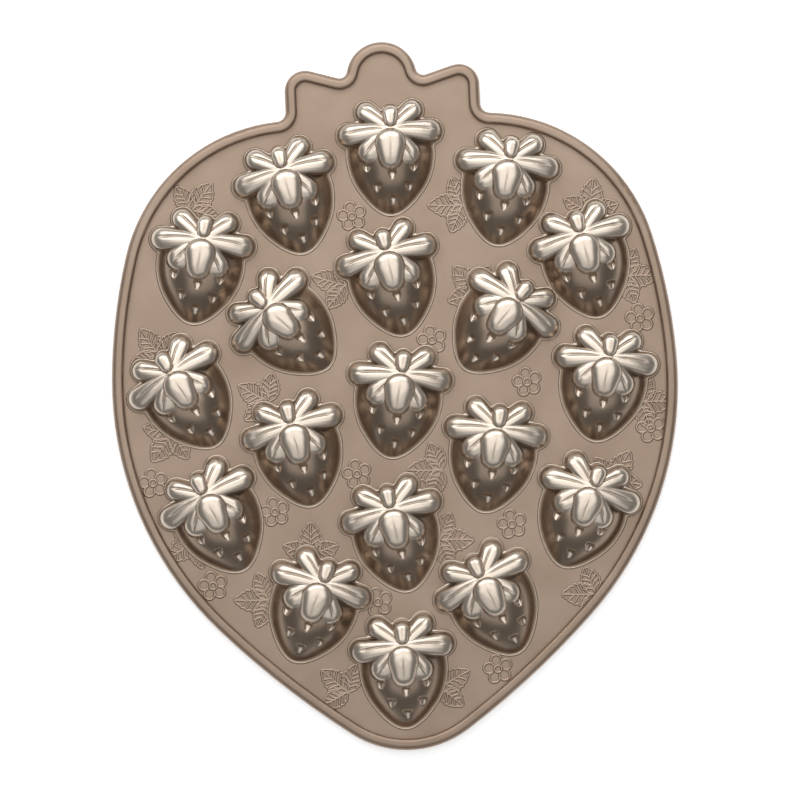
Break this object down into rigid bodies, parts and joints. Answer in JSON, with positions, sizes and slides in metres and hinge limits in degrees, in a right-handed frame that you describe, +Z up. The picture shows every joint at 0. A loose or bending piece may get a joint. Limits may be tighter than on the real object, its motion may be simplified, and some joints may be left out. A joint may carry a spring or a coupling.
{
  "type": "mini cake pan",
  "caption": "Cast baking pan in a strawberry outline with a raised rim bead and rows of small hollow strawberry moulds with leaf crowns.",
  "frame": {"origin": "middle of the pan's outline, on the plane it rests on, with the moulds upwards", "axes": "+X across the pan, +Y towards the leafy crown of the outline, +Z up out of the domes"},
  "size_m": [0.2998, 0.3754, 0.021],
  "materials": {
    "coated_aluminium": "satin bronze-toned non-stick coating on cast aluminium"
  },
  "bodies": {
    "root": {"flange_plate": "coated_aluminium", "rim_bead": "coated_aluminium", "berry_cup_01": "coated_aluminium", "berry_cup_02": "coated_aluminium", "berry_cup_03": "coated_aluminium", "berry_cup_04": "coated_aluminium", "berry_cup_05": "coated_aluminium", "berry_cup_06": "coated_aluminium", "berry_cup_07": "coated_aluminium", "berry_cup_08": "coated_aluminium", "berry_cup_09": "coated_aluminium", "berry_cup_10": "coated_aluminium", "berry_cup_11": "coated_aluminium", "berry_cup_12": "coated_aluminium", "berry_cup_13": "coated_aluminium", "berry_cup_14": "coated_aluminium", "berry_cup_15": "coated_aluminium", "berry_cup_16": "coated_aluminium", "berry_cup_17": "coated_aluminium", "berry_cup_18": "coated_aluminium", "berry_cup_19": "coated_aluminium"}
  },
  "joints": []
}
